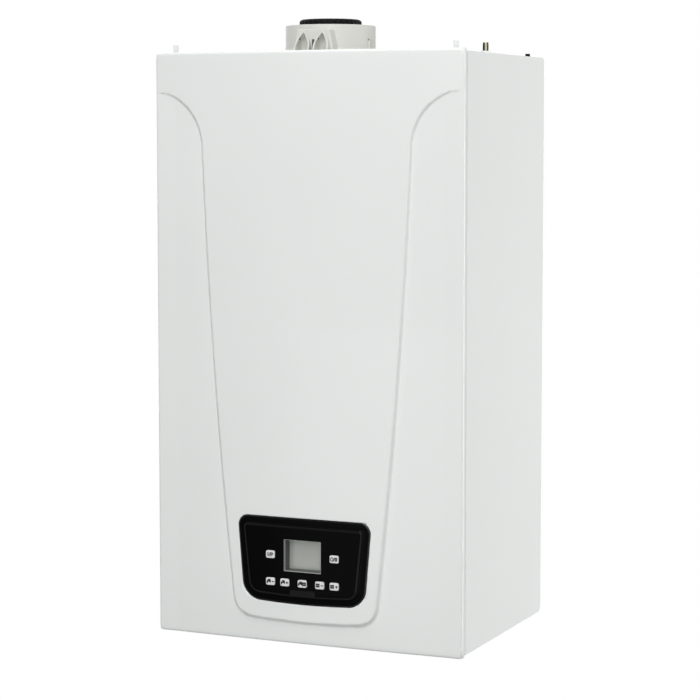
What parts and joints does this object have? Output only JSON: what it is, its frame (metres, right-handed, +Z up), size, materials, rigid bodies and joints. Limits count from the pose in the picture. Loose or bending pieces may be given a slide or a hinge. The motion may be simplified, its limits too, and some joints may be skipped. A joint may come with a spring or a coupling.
{
  "type": "heating boiler",
  "caption": "White wall-hung condensing boiler with a bowed front, black control fascia, concentric flue adapter and connections below.",
  "frame": {"origin": "midway between the two hanging slots, on the wall face", "axes": "+X to the right seen from the front, +Y into the wall, +Z up"},
  "size_m": [0.395, 0.289, 0.766],
  "materials": {
    "white_paint": "smooth white powder coat",
    "zinc_sheet": "zinc-coated sheet",
    "foam": "dark foam",
    "black_rubber": "matt rubber",
    "grey_plastic": "warm grey moulded plastic",
    "black_gloss": "high-gloss black",
    "dark_plastic": "fine-grained dark plastic",
    "button_white": "satin white",
    "screen_glass": "grey-green display",
    "frame_grey": "mid grey",
    "board_green": "lacquered board",
    "steel": "zinc-plated steel",
    "stainless": "stainless steel",
    "cast_aluminium": "as cast",
    "brass": "turned brass",
    "copper": "bare copper",
    "red_paint": "red paint",
    "ceramic": "unglazed ceramic",
    "black_paint": "black paint"
  },
  "bodies": {
    "casing": {"rear_frame": "zinc_sheet", "left_side_panel": "white_paint", "right_side_panel": "white_paint", "top_plate": "white_paint", "bottom_plate": "zinc_sheet", "chamber_gasket": "foam", "fasteners": "steel", "hinge_brackets": "steel", "flue_adapter": "grey_plastic", "flue_seal": "black_rubber", "sampling_plugs": "grey_plastic", "flue_duct": "grey_plastic", "grommets": "black_rubber", "expansion_vessel": "red_paint", "vessel_pipe": "copper", "exchanger_shell": "stainless", "exchanger_coil": "stainless", "burner_door": "cast_aluminium", "burner_tube": "stainless", "electrodes": "ceramic", "mixture_duct": "cast_aluminium", "fan_housing": "cast_aluminium", "fan_motor": "dark_plastic", "gas_mixer": "cast_aluminium", "gas_valve": "cast_aluminium", "gas_pipe": "copper", "connection_stubs": "brass", "flow_manifold": "brass", "diverter_motor": "dark_plastic", "return_manifold": "brass", "pump_motor": "black_paint", "plate_exchanger": "stainless", "safety_valve": "brass", "return_pipe": "copper", "flow_pipe": "copper", "condensate_trap": "grey_plastic", "condensate_hoses": "black_rubber"},
    "front_panel": {"front_panel": "white_paint", "panel_pad": "foam"},
    "control_box": {"control_shell": "dark_plastic", "control_cover": "black_gloss", "display_frame": "frame_grey", "display_screen": "screen_glass", "circuit_board": "board_green"},
    "air_vent": {"air_vent": "brass"},
    "fan_wheel": {"fan_impeller": "dark_plastic"},
    "pump_wheel": {"pump_impeller": "dark_plastic"},
    "diverter": {"diverter_spindle": "stainless"},
    "safety_knob": {"safety_knob": "dark_plastic"},
    "filling_knob": {"filling_knob": "dark_plastic"},
    "drain_knob": {"drain_knob": "dark_plastic"},
    "service_cover": {"service_cover": "black_gloss"},
    "button_water_less": {"button_water_less": "button_white"},
    "button_water_more": {"button_water_more": "button_white"},
    "button_mode": {"button_mode": "button_white"},
    "button_heating_less": {"button_heating_less": "button_white"},
    "button_heating_more": {"button_heating_more": "button_white"},
    "button_info": {"button_info": "button_white"},
    "button_power": {"button_power": "button_white"}
  },
  "joints": [
    {"name": "front_panel_swing", "type": "hinge", "parent": "casing", "child": "front_panel", "pos_m": [0, -0.247, 0.0495], "axis": [-1, 0, 0], "range_deg": [0, 30]},
    {"name": "control_box_tilt", "type": "hinge", "parent": "casing", "child": "control_box", "pos_m": [0, -0.258, -0.62], "axis": [1, 0, 0], "range_deg": [0, 75]},
    {"name": "service_cover_flap", "type": "hinge", "parent": "control_box", "child": "service_cover", "pos_m": [0, -0.28655, -0.5902], "axis": [1, 0, 0], "range_deg": [0, 80]},
    {"name": "fan_spin", "type": "hinge", "parent": "casing", "child": "fan_wheel", "pos_m": [0.08, -0.14975, -0.294], "axis": [1, 0, 0], "continuous": true},
    {"name": "pump_spin", "type": "hinge", "parent": "casing", "child": "pump_wheel", "pos_m": [0.135, -0.115, -0.475], "axis": [0, 1, 0], "continuous": true},
    {"name": "diverter_stroke", "type": "slide", "parent": "casing", "child": "diverter", "axis": [0, -1, 0], "range_m": [0, 0.008]},
    {"name": "safety_knob_turn", "type": "hinge", "parent": "casing", "child": "safety_knob", "pos_m": [0.172, -0.13, -0.592], "axis": [0, 1, 0], "range_deg": [0, 90]},
    {"name": "filling_knob_turn", "type": "hinge", "parent": "casing", "child": "filling_knob", "pos_m": [0.1, -0.142, -0.66], "axis": [0, 0, 1], "range_deg": [0, 360]},
    {"name": "drain_knob_turn", "type": "hinge", "parent": "casing", "child": "drain_knob", "pos_m": [-0.1, -0.142, -0.66], "axis": [0, 0, 1], "range_deg": [0, 180]},
    {"name": "air_vent_turn", "type": "hinge", "parent": "casing", "child": "air_vent", "pos_m": [0.156, -0.097, 0.05], "axis": [0, 0, 1], "range_deg": [0, 360]},
    {"name": "button_water_less_press", "type": "slide", "parent": "control_box", "child": "button_water_less", "axis": [0, 1, 0], "range_m": [0, 0.0008], "stiffness_N_per_m": 900},
    {"name": "button_water_more_press", "type": "slide", "parent": "control_box", "child": "button_water_more", "axis": [0, 1, 0], "range_m": [0, 0.0008], "stiffness_N_per_m": 900},
    {"name": "button_mode_press", "type": "slide", "parent": "control_box", "child": "button_mode", "axis": [0, 1, 0], "range_m": [0, 0.0008], "stiffness_N_per_m": 900},
    {"name": "button_heating_less_press", "type": "slide", "parent": "control_box", "child": "button_heating_less", "axis": [0, 1, 0], "range_m": [0, 0.0008], "stiffness_N_per_m": 900},
    {"name": "button_heating_more_press", "type": "slide", "parent": "control_box", "child": "button_heating_more", "axis": [0, 1, 0], "range_m": [0, 0.0008], "stiffness_N_per_m": 900},
    {"name": "button_info_press", "type": "slide", "parent": "control_box", "child": "button_info", "axis": [0, 1, 0], "range_m": [0, 0.0008], "stiffness_N_per_m": 900},
    {"name": "button_power_press", "type": "slide", "parent": "control_box", "child": "button_power", "axis": [0, 1, 0], "range_m": [0, 0.0008], "stiffness_N_per_m": 900}
  ],
  "couplings": [
    {"joint": "control_box_tilt", "follows": "front_panel_swing", "ratio": 2.5}
  ]
}
